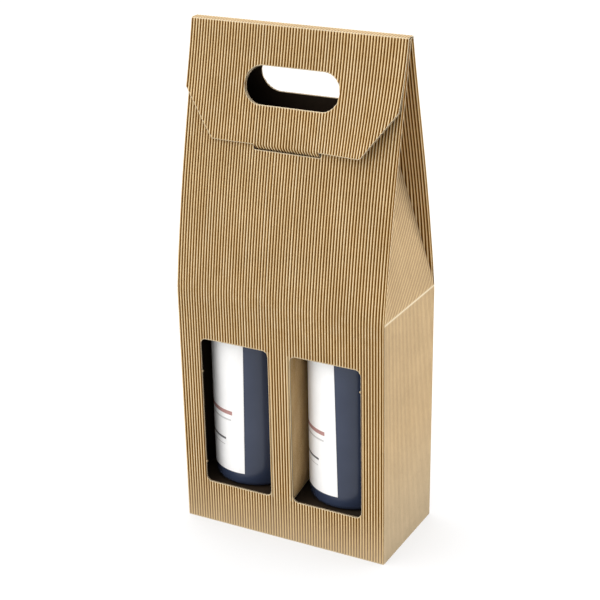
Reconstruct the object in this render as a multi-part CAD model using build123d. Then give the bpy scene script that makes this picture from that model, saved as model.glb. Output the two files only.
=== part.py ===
from build123d import *
import math
import os

# Gift carrier for two bottles, folded from one die-cut sheet of open-flute board.
# Millimetres. The origin is the centre of the base, +Z is up and the windows face -Y.

# Carton: outside sizes over the rib crests
carton_width = 180.0
carton_depth = 90.0
shoulder_height = 203.0
carton_height = 409.0

# Board: ribs on the outside, a flat liner on the inside
board = 1.8
rib_depth = 1.1
rib_pitch = 2.4
corner_margin = 1.2

# Windows in the front panel, and the divider flaps cut from them
window_inner = 9.6
window_width = 60.6
window_bottom = 36.5
window_height = 127.0
window_radius = 5.0
flap_kerf = 0.6
flap_meeting_gap = 0.2

# Handle hole through the lid, the front panel and the back panel
handle_length = 79.7
handle_height = 29.0
handle_drop = 45.0

# Lid: the ridge strip, the front flap with cut corners and the tongue
lid_inset = 0.3
lid_side = 52.7
lid_length = 89.5
lid_edge_width = 126.6
lid_corner_radius = 3.0
fold_gap = 0.4
tongue_width = 54.5
tongue_length = 12.0
slot_end_gap = 1.2
slot_head_gap = 0.6
slot_drop = 3.4

# Folded rest that lifts the bottles to just under the window sills
sill_drop = 3.5
rest_gap = 0.5

# Bottles, with the room they have in the carton
bottle_side_room = 11.4
bottle_front_room = 7.2
bottle_flap_gap = 0.6
neck_gusset_gap = 1.0
bottle_shift = {"left": 5.0, "right": 1.5}
bottle_top_share = 0.5415
heel_radius = 5.0
body_height = 178.0
shoulder_rise = 36.0
neck_radius = 13.3
shoulder_radius = 30.0
neck_blend = 22.0
lip_radius = 1.2
punt_depth = 14.0
punt_rim = 7.0

# Labels and capsules
label_width = 105.0
label_height = 132.0
label_lift = 12.0
label_sheet = 0.25
label_edge_turn = {"left": 12.0, "right": 3.0}
capsule_end_gap = 2.5
capsule_wall = 0.3
skin_gap = 0.05

# Cuts run this far past the faces they open
overrun = 3.0

half_width = carton_width / 2
half_depth = carton_depth / 2
reach = carton_height * 2

# Front and back panels lean in from the shoulder to the ridge, where two boards lie on each side
ridge_half = 2 * board
rise = carton_height - shoulder_height
run = half_depth - ridge_half
slope = math.hypot(run, rise)
panel_top = carton_height - board - fold_gap
front_up = Vector(0, run, rise) / slope
front_out = Vector(0, -rise, run) / slope

# Gusset: the side panel folds along two diagonals from the shoulder corners to the ridge, so its halves
# lie flat behind the front and back panels, and its middle leans in between them
gusset_inset = half_depth
gusset_depth = 2 * board

# Lid: its outer face runs parallel to the front panel, one board and the fold gap outside it
lid_offset = fold_gap + board
lid_front = ridge_half + lid_offset * slope / rise
lid_plane = Plane(origin=(0, -lid_front, carton_height), x_dir=(1, 0, 0), z_dir=front_out)
hinge_point = Vector(0, ridge_half, carton_height)
lid_width = carton_width - 2 * lid_inset

# Divider flaps: they lean together until they meet behind the strip between the windows
flap_length = window_width - flap_kerf
flap_lean = math.asin((window_inner - board - flap_meeting_gap) / flap_length)

# Bottles: each is as wide as its flap, its side wall and the front and back panels leave room for,
# has slid off its flap towards the side wall by its own shift, and ends below the leaning gusset
rest_height = window_bottom - sill_drop
flap_offset = (bottle_flap_gap - half_depth * math.sin(flap_lean)) / math.cos(flap_lean)
side_fit = half_width - board - bottle_side_room - window_inner - flap_offset
depth_fit = half_depth - board - bottle_front_room
bottle_radius = min(side_fit / (1 + 1 / math.cos(flap_lean)), depth_fit)
bottle_x = window_inner + flap_offset + bottle_radius / math.cos(flap_lean)
capsule_radius = neck_radius + skin_gap + capsule_wall
gusset_face = half_width - board * math.hypot(rise, gusset_inset) / rise
neck_reach = bottle_x + max(bottle_shift.values()) + capsule_radius + neck_gusset_gap
neck_rise = min(rise * bottle_top_share, rise * (gusset_face - neck_reach) / gusset_inset)
bottle_height = shoulder_height + neck_rise - rest_height
neck_start = body_height + shoulder_rise
neck_turn = math.atan2(bottle_radius - neck_radius, shoulder_rise)
capsule_length = bottle_height - neck_start - neck_blend * math.tan(neck_turn / 2) - capsule_end_gap
punt_radius = bottle_radius - heel_radius - punt_rim


def rib_points(width):
    """Crest and valley points across a ribbed panel of this width, from its first crest to its last."""
    ribbed = width - 2 * corner_margin
    count = max(round(ribbed / rib_pitch), 1)
    half_pitch = ribbed / count / 2
    steps = range(2 * count + 1)
    return [(i * half_pitch - ribbed / 2, -rib_depth * (i % 2)) for i in steps]


def rib_comb(plane, width, length):
    """Space outside a ribbed face: it fills the grooves of a panel that lies in the plane, ribs along its Y."""
    line = rib_points(width)
    ends = [(reach, 0), (reach, reach), (-reach, reach), (-reach, 0)]
    section = make_face(Polyline(*line, *ends, close=True))
    across = Plane(origin=plane.origin, x_dir=plane.x_dir, z_dir=-plane.y_dir)
    return extrude(across * section, amount=length, both=True)


def ribbed_panel(plane, outline, width, length):
    """Flat panel of board with its ribbed face in the plane."""
    return extrude(plane * outline, amount=-board) - rib_comb(plane, width, length)


def outer_space(plane, depth):
    """Everything outside a flat face that lies the given depth behind the plane."""
    return plane * Pos(0, 0, reach / 2 - depth) * Box(reach, reach, reach)


def carton_outline():
    """Ribbed outline of the four upright walls, seen from above."""
    front = rib_points(carton_width)
    side = rib_points(carton_depth)
    points = [(u, -half_depth - v) for u, v in front]
    points += [(half_width + v, u) for u, v in side]
    points += [(-u, half_depth + v) for u, v in front]
    points += [(-half_width - v, -u) for u, v in side]
    return make_face(Polyline(*points, close=True))


def gable_block():
    """Solid between the leaning front and back panels, ribbed on both."""
    points = [(u, -half_depth - v) for u, v in rib_points(carton_width)]
    points += [(half_width, corner_margin - half_depth), (half_width, reach)]
    points += [(-half_width, reach), (-half_width, corner_margin - half_depth)]
    section = Pos(0, 0, shoulder_height) * make_face(Polyline(*points, close=True))
    lean = front_up * (slope * (panel_top - shoulder_height) / rise)
    leaning = Solid.extrude(section.faces()[0], lean)
    return leaning & mirror(leaning, about=Plane.XZ)


def gusset_planes():
    """Planes of the right gusset's outer faces: the front half, the back half and the middle."""
    centre = half_width - gusset_inset / 2
    back_out = Vector(0, -front_out.Y, front_out.Z)
    front_foot = Vector(centre, -half_depth, shoulder_height) - front_out * gusset_depth
    back_foot = Vector(centre, half_depth, shoulder_height) - back_out * gusset_depth
    front = Plane(front_foot, x_dir=(1, 0, 0), z_dir=-front_out)
    back = Plane(back_foot, x_dir=(1, 0, 0), z_dir=-back_out)
    middle_out = Vector(rise, 0, gusset_inset)
    middle = Plane((half_width, 0, shoulder_height), x_dir=(0, 1, 0), z_dir=middle_out)
    return front, back, middle


def gusset_recess():
    """Ribbed hollow outside the right gusset."""
    front, back, middle = gusset_planes()
    hollow = rib_comb(front, gusset_inset, reach) & rib_comb(back, gusset_inset, reach)
    return hollow & rib_comb(middle, carton_depth, reach)


def gusset_boards():
    """Space that the right gusset's boards take from the inside."""
    front, back, middle = gusset_planes()
    return outer_space(front, board) & outer_space(back, board) & outer_space(middle, board)


def inner_space():
    """Room inside the folded carton."""
    inner_half = half_depth - board
    top_half = ridge_half - board
    corners = [(-inner_half, board), (inner_half, board), (inner_half, shoulder_height)]
    corners += [(top_half, carton_height), (-top_half, carton_height), (-inner_half, shoulder_height)]
    profile = Plane.YZ * make_face(Polyline(*corners, close=True))
    room = extrude(profile, amount=half_width - board, both=True)
    boards = gusset_boards()
    return room - boards - mirror(boards, about=Plane.YZ)


def window_outline(width, height):
    """Window-shaped outline with rounded corners."""
    return RectangleRounded(width, height, window_radius)


def window_cut():
    """Hole of the right window."""
    centre = (window_inner + window_width / 2, -half_depth, window_bottom + window_height / 2)
    plane = Plane(origin=centre, x_dir=(1, 0, 0), z_dir=(0, -1, 0))
    return extrude(plane * window_outline(window_width, window_height), amount=board + overrun, both=True)


def divider_flap():
    """Right window's flap, folded in along the window's inner edge."""
    inward = Vector(-math.sin(flap_lean), math.cos(flap_lean), 0)
    outward = Vector(math.cos(flap_lean), math.sin(flap_lean), 0)
    height = window_height - 2 * flap_kerf
    fold_line = Vector(window_inner, board * math.sin(flap_lean) - half_depth, window_bottom + window_height / 2)
    plane = Plane(origin=fold_line + inward * (flap_length / 2), x_dir=inward, z_dir=outward)
    free_end = Pos(-window_radius, 0) * window_outline(flap_length + 2 * window_radius, height)
    outline = free_end & Rectangle(flap_length, height)
    return ribbed_panel(plane, outline, flap_length, height)


def handle_outline():
    """Handle hole, in the plane of the lid."""
    return Pos(0, -handle_drop) * SlotOverall(handle_length, handle_height)


def handle_cut():
    """Handle hole through the front panel."""
    return extrude(lid_plane * handle_outline(), amount=-(lid_offset + board + overrun))


def slot_cut():
    """Slot in the front panel for the lid's tongue."""
    head = board + slot_head_gap
    middle = (slot_drop - head) / 2
    outline = Pos(0, -lid_length - middle) * Rectangle(tongue_width + 2 * slot_end_gap, head + slot_drop)
    return extrude(lid_plane * outline, amount=-(lid_offset + board + overrun))


def carton_body():
    """Folded sheet without its lid."""
    block = extrude(carton_outline(), amount=shoulder_height) + gable_block()
    recess = gusset_recess()
    block = block - recess - mirror(recess, about=Plane.YZ)
    window = window_cut()
    handle = handle_cut()
    holes = [window, mirror(window, about=Plane.YZ), handle, mirror(handle, about=Plane.XZ), slot_cut()]
    shell = block - inner_space() - holes
    flap = divider_flap()
    return shell + flap + mirror(flap, about=Plane.YZ)


def lid_outline():
    """Front flap of the lid, with its lower corners cut off and the handle hole."""
    half = lid_width / 2
    edge = lid_edge_width / 2
    points = [(half, 0), (half, -lid_side), (edge, -lid_length)]
    points += [(-u, v) for u, v in reversed(points)]
    flap = make_face(Polyline(*points, close=True))
    lower = [vertex for vertex in flap.vertices() if vertex.Y < 0]
    return fillet(lower, lid_corner_radius) - handle_outline()


def lid_tongue():
    """Tongue along the lid's lower edge, square to the line from the hinge so that it swings through the slot."""
    root = lid_plane.from_local_coords(Vector(0, -lid_length, -board / 2))
    arm = root - hinge_point
    inward = Vector(0, -arm.Z, arm.Y).normalized()
    up = -arm.normalized()
    plane = Plane(origin=root, x_dir=(1, 0, 0), z_dir=inward)
    rise_sign = 1 if plane.y_dir.dot(up) > 0 else -1
    return extrude(plane * Pos(0, rise_sign * board / 2) * Rectangle(tongue_width, board), amount=tongue_length)


def lid_flap():
    """Ridge strip, front flap and tongue in one piece, hinged on the back panel's top fold."""
    flap = ribbed_panel(lid_plane, lid_outline(), carton_width, lid_length)
    depth = ridge_half + lid_front
    middle = (ridge_half - lid_front) / 2
    strip = Pos(0, middle, carton_height - board / 2) * Box(lid_width, depth, board)
    top = Plane(origin=(0, middle, carton_height))
    below = Pos(0, 0, carton_height - reach / 2) * Box(reach, reach, reach)
    return (flap & below) + (strip - rib_comb(top, carton_width, depth)) + lid_tongue()


def bottle_rest():
    """Folded channel under the bottles: a table with a leg along the front and the back."""
    length = carton_width - 2 * (board + rest_gap)
    depth = carton_depth - 2 * (board + rest_gap)
    table = Pos(0, 0, rest_height - board / 2) * Box(length, depth, board)
    leg_height = rest_height - board
    leg = Pos(0, (board - depth) / 2, board + leg_height / 2) * Box(length, board, leg_height)
    return table + leg + mirror(leg, about=Plane.XZ)


def bottle():
    """Sealed bottle, standing on its own base at the origin."""
    corners = [(0, 0), (bottle_radius, 0), (bottle_radius, body_height), (neck_radius, neck_start)]
    corners += [(neck_radius, bottle_height), (0, bottle_height)]
    half = make_face(Polyline(*corners, close=True))
    bends = [heel_radius, shoulder_radius, neck_blend, lip_radius]
    for corner, radius in zip(corners[1:5], bends):
        nearest = min(half.vertices(), key=lambda vertex: (Vector(vertex) - Vector(*corner)).length)
        half = fillet([nearest], radius)
    body = revolve(Plane.XZ * half, axis=Axis.Z)
    dome = (punt_radius**2 + punt_depth**2) / (2 * punt_depth)
    return body - Pos(0, 0, punt_depth - dome) * Sphere(dome)


def label(edge_turn):
    """Paper label wrapped round the bottle, its right edge turned from the front by this angle."""
    inner = bottle_radius + skin_gap
    outer = inner + label_sheet
    spread = math.degrees(label_width / outer)
    on_axis = (Align.NONE, Align.NONE, Align.CENTER)
    sheet = Cylinder(outer, label_height, arc_size=spread, align=on_axis) - Cylinder(inner, label_height)
    return Pos(0, 0, label_lift + label_height / 2) * Rot(0, 0, edge_turn - 90 - spread) * sheet


def capsule():
    """Foil capsule over the neck."""
    inner = capsule_radius - capsule_wall
    length = capsule_length + skin_gap + capsule_wall
    sleeve = Cylinder(capsule_radius, length) - Pos(0, 0, -capsule_wall) * Cylinder(inner, length)
    return Pos(0, 0, bottle_height - capsule_length + length / 2) * sleeve


def contents():
    """The two bottles with their labels and capsules, standing on the rest."""
    pieces = {}
    for side, sign in (("left", -1), ("right", 1)):
        place = Pos(sign * (bottle_x + bottle_shift[side]), 0, rest_height)
        pieces[f"bottle_{side}"] = place * bottle()
        pieces[f"label_{side}"] = place * label(label_edge_turn[side])
        pieces[f"capsule_{side}"] = place * capsule()
    return pieces


nodes = {"carton_body": carton_body(), "lid_flap": lid_flap(), "bottle_rest": bottle_rest(), **contents()}
os.makedirs("parts", exist_ok=True)
for name, shape in nodes.items():
    export_step(shape, f"parts/{name}.step")
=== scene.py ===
"""Gift carrier for two bottles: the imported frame, dressed as a carton folded from open-flute kraft board."""

from __future__ import annotations

import logging
import math
from dataclasses import dataclass, replace
from enum import Enum
from typing import Callable, Sequence

import bpy
from mathutils import Matrix, Vector


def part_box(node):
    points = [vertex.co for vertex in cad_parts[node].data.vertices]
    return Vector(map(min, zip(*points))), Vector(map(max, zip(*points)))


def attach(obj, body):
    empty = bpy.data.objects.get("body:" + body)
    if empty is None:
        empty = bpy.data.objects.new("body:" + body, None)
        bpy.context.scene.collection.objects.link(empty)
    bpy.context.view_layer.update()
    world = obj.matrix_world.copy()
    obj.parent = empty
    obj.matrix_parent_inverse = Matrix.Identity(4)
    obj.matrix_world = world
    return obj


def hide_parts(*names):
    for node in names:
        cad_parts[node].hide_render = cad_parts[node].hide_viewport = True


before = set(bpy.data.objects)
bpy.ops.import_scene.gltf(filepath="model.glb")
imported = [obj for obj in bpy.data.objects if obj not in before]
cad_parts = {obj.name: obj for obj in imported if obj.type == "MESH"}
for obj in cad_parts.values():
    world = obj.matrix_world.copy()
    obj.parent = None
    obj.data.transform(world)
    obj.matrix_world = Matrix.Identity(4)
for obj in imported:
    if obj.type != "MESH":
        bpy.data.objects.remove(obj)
log = logging.getLogger("gift_carrier")

# Sizes in the classes are millimetres; meshes are written in metres.
MM = 0.001
# Two edges closer than this are one edge.
TOUCH = 1e-4
# Points of a mesh closer than this, in metres, are one point.
WELD = 1e-6
# Turns that a rounded corner is drawn with.
QUARTER = [math.radians(turn) for turn in range(0, 91, 15)]
# Paper fibres are drawn out along the flutes.
FIBRE_STRETCH = (1.0, 1.0, 0.22)
WHITE = (1.0, 1.0, 1.0)

Span = tuple[float, float]
Place = tuple[float, float, float]
Colour = tuple[float, float, float]
Socket = bpy.types.NodeSocket
Piece = bpy.types.Object


class Side(Enum):
    """Halves of the carton, seen from the front."""

    LEFT = -1
    RIGHT = 1


class Layer(Enum):
    """Papers that the open-flute board is glued up from."""

    FLUTES = 0.0
    LINER = 1.0


def link(name: str, data: bpy.types.ID) -> Piece:
    """Makes an object.

    Args:
        name: Its name.
        data: Its mesh, camera or light.

    Returns:
        The object, linked to the scene.
    """
    item = bpy.data.objects.new(name, data)
    bpy.context.scene.collection.objects.link(item)
    return item


def spread(low: float, high: float, count: int) -> list[float]:
    """Returns evenly spaced places between two ends, both included."""
    return [low + (high - low) * i / count for i in range(count + 1)]


class Graph:
    """Adds nodes to a tree, sets their sockets and links them."""

    def __init__(self, tree: bpy.types.NodeTree) -> None:
        """Keeps the tree that nodes are added to."""
        self.tree = tree

    def sockets(self, way: str, kind: str, *names: str) -> None:
        """Gives the tree named inputs or outputs.

        Args:
            way: INPUT or OUTPUT.
            kind: Type of the sockets, such as Float.
            names: Their names, in order.
        """
        for name in names:
            self.tree.interface.new_socket(name, in_out=way, socket_type=f"NodeSocket{kind}")

    def feed(self, node: bpy.types.Node, inputs: dict) -> None:
        """Sets or links inputs of a node.

        Args:
            node: The node.
            inputs: Values or sockets, by socket name or index; a colour is three numbers.
        """
        for key, value in inputs.items():
            socket = node.inputs[key]
            if isinstance(value, Socket):
                self.tree.links.new(value, socket)
            else:
                socket.default_value = (*value, 1.0) if socket.type == "RGBA" else value

    def add(self, kind: str, inputs: dict | None = None, **settings: object) -> bpy.types.Node:
        """Adds one node.

        Args:
            kind: Blender's name for the node type.
            inputs: Values or sockets for its inputs, by socket name or index.
            settings: Properties of the node itself.

        Returns:
            The new node.
        """
        node = self.tree.nodes.new(kind)
        for name, value in settings.items():
            setattr(node, name, value)
        self.feed(node, inputs or {})
        return node

    def math(self, operation: str, *values: object) -> Socket:
        """Returns the value of a Math node that takes these numbers or sockets."""
        return self.add("ShaderNodeMath", dict(enumerate(values)), operation=operation).outputs[0]

    def blend(self, share: object, low: object, high: object) -> Socket:
        """Returns a blend of two numbers, with this share of the second."""
        return self.math("MULTIPLY_ADD", self.math("SUBTRACT", high, low), share, low)

    def dot(self, one: object, two: object) -> Socket:
        """Returns the dot product of two vectors."""
        return self.add("ShaderNodeVectorMath", {0: one, 1: two}, operation="DOT_PRODUCT").outputs["Value"]

    def attribute(self, name: str) -> Socket:
        """Returns a named attribute of the mesh, for a shader."""
        return self.add("ShaderNodeAttribute", attribute_name=name).outputs["Fac"]

    def tint(self, share: object, base: object, other: object, mode: str = "MIX") -> Socket:
        """Blends two colours.

        Args:
            share: How much of the second colour is taken.
            base: The first colour.
            other: The second colour.
            mode: The Mix node's blend type.

        Returns:
            The blended colour.
        """
        mix = self.add("ShaderNodeMix", {0: share}, data_type="RGBA", blend_type=mode)
        first, second = (i for i, socket in enumerate(mix.inputs) if socket.type == "RGBA")
        self.feed(mix, {first: base, second: other})
        return next(socket for socket in mix.outputs if socket.type == "RGBA")

    def ramp(self, share: object, places: Sequence[float], colours: Sequence[Colour]) -> Socket:
        """Adds a colour ramp.

        Args:
            share: Socket that picks the place on the ramp.
            places: Where the colours lie, lowest first.
            colours: The colours.

        Returns:
            The ramp's colour.
        """
        node = self.add("ShaderNodeValToRGB", {0: share})
        elements = node.color_ramp.elements
        while len(elements) < len(places):
            elements.new(1.0)
        for element, place, colour in zip(elements, places, colours):
            element.position = place
            element.color = (*colour, 1.0)
        return node.outputs[0]


def paper_grain() -> bpy.types.NodeTree:
    """Builds the shader group for paper fibres and clouding, once.

    Returns:
        The group, with a Fibre and a Cloud output.
    """
    if "paper_grain" in bpy.data.node_groups:
        return bpy.data.node_groups["paper_grain"]
    tree = bpy.data.node_groups.new("paper_grain", "ShaderNodeTree")
    graph = Graph(tree)
    graph.sockets("INPUT", "Vector", "Vector")
    graph.sockets("INPUT", "Float", "Fibre Scale", "Cloud Scale")
    graph.sockets("OUTPUT", "Float", "Fibre", "Cloud")
    entry = graph.add("NodeGroupInput").outputs
    stretch = graph.add("ShaderNodeMapping", {"Vector": entry["Vector"], "Scale": FIBRE_STRETCH})
    fibre = graph.add("ShaderNodeTexNoise", {"Vector": stretch.outputs[0], "Scale": entry["Fibre Scale"],
                                             "Detail": 5.0, "Roughness": 0.7, "Distortion": 0.6})
    cloud = graph.add("ShaderNodeTexNoise", {"Vector": entry["Vector"], "Scale": entry["Cloud Scale"],
                                             "Detail": 2.0, "Roughness": 0.5})
    graph.add("NodeGroupOutput", {"Fibre": fibre.outputs[0], "Cloud": cloud.outputs[0]})
    return tree


@dataclass(frozen=True)
class Finish:
    """What every finish has: a name, the scales of its grain per metre, its tones, its gloss and its relief.

    The tones lie at the stops of a ramp that the grain picks from. The gloss is the least roughness and what
    the grain adds to it. Tones and gloss each follow the clouding by a share, and the fibres by the rest.
    The relief is the height of the fibres in millimetres.
    """

    name: str
    fibre_scale: float
    cloud_scale: float
    tones: tuple[Colour, ...]
    gloss: Span
    stops: tuple[float, ...] = (0.3, 0.7)
    tone_cloud: float = 1.0
    gloss_cloud: float = 0.0
    specular: float = 0.5
    metallic: float = 0.0
    relief: float = 0.0
    relief_strength: float = 0.6

    def material(self) -> bpy.types.Material:
        """Builds the finish's material, the first time it is asked for.

        Returns:
            The material.
        """
        known = bpy.data.materials.get(self.name)
        if known is not None and known.get("carrier_finish"):
            return known
        material = bpy.data.materials.new(self.name)
        material["carrier_finish"] = True
        material.use_nodes = True
        material.node_tree.nodes.clear()
        graph = Graph(material.node_tree)
        grain = {"Vector": graph.add("ShaderNodeTexCoord").outputs["Object"], "Fibre Scale": self.fibre_scale,
                 "Cloud Scale": self.cloud_scale}
        fibre, cloud = graph.add("ShaderNodeGroup", grain, node_tree=paper_grain()).outputs
        least, gain = self.gloss
        inputs = {
            **self.dress(graph, fibre, cloud),
            "Roughness": graph.math("MULTIPLY_ADD", graph.blend(self.gloss_cloud, fibre, cloud), gain, least),
            "Specular IOR Level": self.specular,
            "Metallic": self.metallic,
        }
        if self.relief:
            bump = {"Strength": self.relief_strength, "Distance": self.relief * MM, "Height": fibre}
            inputs["Normal"] = graph.add("ShaderNodeBump", bump).outputs[0]
        shader = graph.add("ShaderNodeBsdfPrincipled", inputs)
        graph.add("ShaderNodeOutputMaterial", {"Surface": shader.outputs[0]})
        return material

    def dress(self, graph: Graph, fibre: Socket, cloud: Socket) -> dict:
        """Returns what feeds the shader's colours: here the tones, picked by the masks of the grain."""
        return {"Base Color": graph.ramp(graph.blend(self.tone_cloud, fibre, cloud), self.stops, self.tones)}


@dataclass(frozen=True)
class KraftFlutes(Finish):
    """Unbleached kraft paper, with a tone each for a rib's valley, flank, slope and crest, and pale cut edges; the
    dark valley and flank tones are painted shade.
    """

    name: str = "kraft_flutes"
    fibre_scale: float = 900.0
    cloud_scale: float = 35.0
    # The valley, flank and slope tones darken a rib towards its bottom as painted shade; the crest tone is the
    # paper's own colour.
    tones: tuple[Colour, ...] = ((0.036, 0.010, 0.001), (0.225, 0.090, 0.008), (0.530, 0.350, 0.145),
                                 (0.820, 0.712, 0.490))
    stops: tuple[float, ...] = (0.0, 0.52, 0.76, 0.95)
    gloss: Span = (0.72, 0.2)
    specular: float = 0.04
    relief: float = 0.12
    score: Colour = (0.780, 0.695, 0.510)
    score_share: float = 0.8
    cut: Colour = (0.740, 0.610, 0.410)
    cut_share: float = 0.9
    shade: float = 0.70
    fibre_shade: float = 0.36
    cloud_shade: float = 0.24

    def dress(self, graph: Graph, fibre: Socket, cloud: Socket) -> dict:
        """Colours the paper by its height in the wave, which paints shade into the valleys, and by its scores, its
        cut edges and its fibres.

        Args:
            graph: The material's nodes.
            fibre: Mask of the fibres.
            cloud: Mask of the clouding.

        Returns:
            What feeds the shader's colours.
        """
        crest, crush, wear, rim = (graph.attribute(name) for name in ("crest", "crush", "wear", "rim"))
        # The ramp over the rib's height paints shade into the valley and flank.
        paper = graph.ramp(crest, self.stops, self.tones)
        paper = graph.tint(graph.math("MULTIPLY", crush, self.score_share), paper, self.score)
        frayed = graph.math("MAXIMUM", graph.math("MULTIPLY", wear, crest), rim)
        paper = graph.tint(graph.math("MULTIPLY", frayed, self.cut_share), paper, self.cut)
        shade = graph.math("MULTIPLY_ADD", fibre, self.fibre_shade, self.shade)
        shade = graph.math("MULTIPLY_ADD", cloud, self.cloud_shade, shade)
        grey = graph.add("ShaderNodeCombineColor", {0: shade, 1: shade, 2: shade}).outputs[0]
        return {"Base Color": graph.tint(1.0, paper, grey, "MULTIPLY")}


@dataclass(frozen=True)
class PaintedShadeLiner(Finish):
    """Liner paper on the inside of the board, dark brown as painted shade for the inside of the box, with pale cut
    edges.
    """

    name: str = "painted_shade_liner"
    fibre_scale: float = 700.0
    cloud_scale: float = 28.0
    # These near-black tones are painted shade that darkens the inside of the box.
    tones: tuple[Colour, ...] = ((0.016, 0.010, 0.006), (0.034, 0.022, 0.013))
    stops: tuple[float, ...] = (0.3, 0.75)
    tone_cloud: float = 0.5
    gloss: Span = (0.75, 0.2)
    specular: float = 0.15
    relief: float = 0.08
    cut: Colour = (0.520, 0.400, 0.250)

    def dress(self, graph: Graph, fibre: Socket, cloud: Socket) -> dict:
        """Clouds the paper, whose dark is painted shade, and shows the pale core at its cut edges."""
        paper = super().dress(graph, fibre, cloud)["Base Color"]
        return {"Base Color": graph.tint(graph.attribute("rim"), paper, self.cut)}


@dataclass(frozen=True)
class BottleGlass(Finish):
    """Dark slate-blue bottle, glossy, with faint clouding where it has been handled."""

    name: str = "bottle_glass"
    fibre_scale: float = 260.0
    cloud_scale: float = 22.0
    tones: tuple[Colour, ...] = ((0.026, 0.036, 0.068), (0.036, 0.048, 0.086))
    gloss: Span = (0.16, 0.16)
    gloss_cloud: float = 0.65
    specular: float = 0.45


@dataclass(frozen=True)
class Bar:
    """Printed bar, in shares of its label: height of its middle, half its thickness and half its length."""

    height: float
    half: float
    reach: float
    ink: Colour


@dataclass(frozen=True)
class LabelPaper(Finish):
    """White label paper with plain printed bars, placed by the label's own UV map."""

    name: str = "label_paper"
    fibre_scale: float = 1100.0
    cloud_scale: float = 60.0
    tones: tuple[Colour, ...] = ((0.880, 0.872, 0.858), (0.930, 0.925, 0.915))
    stops: tuple[float, ...] = (0.35, 0.65)
    tone_cloud: float = 0.4
    gloss: Span = (0.5, 0.2)
    specular: float = 0.3
    relief: float = 0.03
    bars: tuple[Bar, ...] = (
        Bar(0.400, 0.0130, 0.40, (0.430, 0.235, 0.215)),
        Bar(0.352, 0.0060, 0.39, (0.600, 0.590, 0.580)),
        Bar(0.215, 0.0070, 0.33, (0.110, 0.105, 0.110)),
        Bar(0.172, 0.0030, 0.32, (0.600, 0.590, 0.580)),
    )

    def dress(self, graph: Graph, fibre: Socket, cloud: Socket) -> dict:
        """Prints the bars on fibrous white paper.

        Args:
            graph: The material's nodes.
            fibre: Mask of the fibres.
            cloud: Mask of the clouding.

        Returns:
            What feeds the shader's colours.
        """
        base = super().dress(graph, fibre, cloud)["Base Color"]
        across, up, _ = graph.add("ShaderNodeSeparateXYZ", {0: graph.add("ShaderNodeUVMap").outputs[0]}).outputs
        for bar in self.bars:
            line = graph.math("MULTIPLY", graph.math("COMPARE", up, bar.height, bar.half),
                              graph.math("COMPARE", across, 0.5, bar.reach))
            base = graph.tint(line, base, bar.ink)
        return {"Base Color": base}


@dataclass(frozen=True)
class CapsuleFoil(Finish):
    """Satin wine-red foil over the neck, with faint drawn streaks."""

    name: str = "capsule_foil"
    fibre_scale: float = 420.0
    cloud_scale: float = 50.0
    tones: tuple[Colour, ...] = ((0.120, 0.010, 0.020), (0.185, 0.018, 0.030))
    tone_cloud: float = 0.0
    gloss: Span = (0.26, 0.2)
    gloss_cloud: float = 1.0
    metallic: float = 0.35
    relief: float = 0.04


@dataclass(frozen=True)
class StudioFloor(Finish):
    """Matt white sweep of a light table, which glows softly from below."""

    name: str = "studio_floor"
    fibre_scale: float = 30.0
    cloud_scale: float = 2.0
    tones: tuple[Colour, ...] = ((0.265, 0.265, 0.267), (0.285, 0.285, 0.287))
    gloss: Span = (0.85, 0.1)
    specular: float = 0.1
    glow: float = 0.60

    def dress(self, graph: Graph, fibre: Socket, cloud: Socket) -> dict:
        """Clouds the white very faintly and lights it up."""
        return {**super().dress(graph, fibre, cloud), "Emission Color": WHITE, "Emission Strength": self.glow}


class SheetMesh:
    """Base mesh of folded sheets, with the attributes that the board tree reads."""

    def __init__(self) -> None:
        """Starts an empty sheet."""
        self.points: list[Vector] = []
        self.faces: list[list[int]] = []
        self.attributes: dict[str, list[float]] = {"flute": [], "crush": [], "wear": [], "liner": []}

    def point(self, place: Vector, flute: float, crush: float, layer: Layer, wear: float = 0.0) -> int:
        """Adds a point.

        Args:
            place: Where it lies, in millimetres.
            flute: How many flutes lie between it and the start of its panel.
            crush: How far the flutes are pressed flat there, 0 to 1.
            layer: The paper it belongs to.
            wear: How frayed the paper is there, 0 to 1.

        Returns:
            The point's number.
        """
        self.points.append(place * MM)
        for values, value in zip(self.attributes.values(), (flute, crush, wear, layer.value)):
            values.append(value)
        return len(self.points) - 1

    def to_object(self, name: str) -> Piece:
        """Makes the sheet a mesh object.

        Args:
            name: The object's name.

        Returns:
            The object, linked to the scene.
        """
        mesh = bpy.data.meshes.new(name)
        mesh.from_pydata(self.points, [], self.faces)
        for label, values in self.attributes.items():
            mesh.attributes.new(label, "FLOAT", "POINT").data.foreach_set("value", values)
        return link(name, mesh)


@dataclass(frozen=True)
class Opening:
    """Rounded hole in a panel: its ends lie across the flutes, its edges along them."""

    start: float
    end: float
    low: float
    high: float
    radius: float

    @classmethod
    def handle(cls, across: float, along: float, length: float, height: float) -> Opening:
        """Returns a hole with round ends, from its middle and its size."""
        half, tall = length / 2, height / 2
        return cls(across - half, across + half, along - tall, along + tall, tall)

    def edges(self, across: float) -> Span:
        """Finds the hole's edges.

        Args:
            across: A place across the flutes.

        Returns:
            The lower and the upper edge there.
        """
        near = min(across - self.start, self.end - across)
        drop = 0.0
        if near < self.radius:
            drop = self.radius - math.sqrt(max(self.radius**2 - (self.radius - near) ** 2, 0.0))
        return self.low + drop, self.high - drop

    def columns(self) -> list[float]:
        """Returns the places across the flutes that the hole's outline needs."""
        drops = [self.radius * (1 - math.cos(turn)) for turn in QUARTER]
        return [self.start + d for d in drops] + [self.end - d for d in drops]


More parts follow.
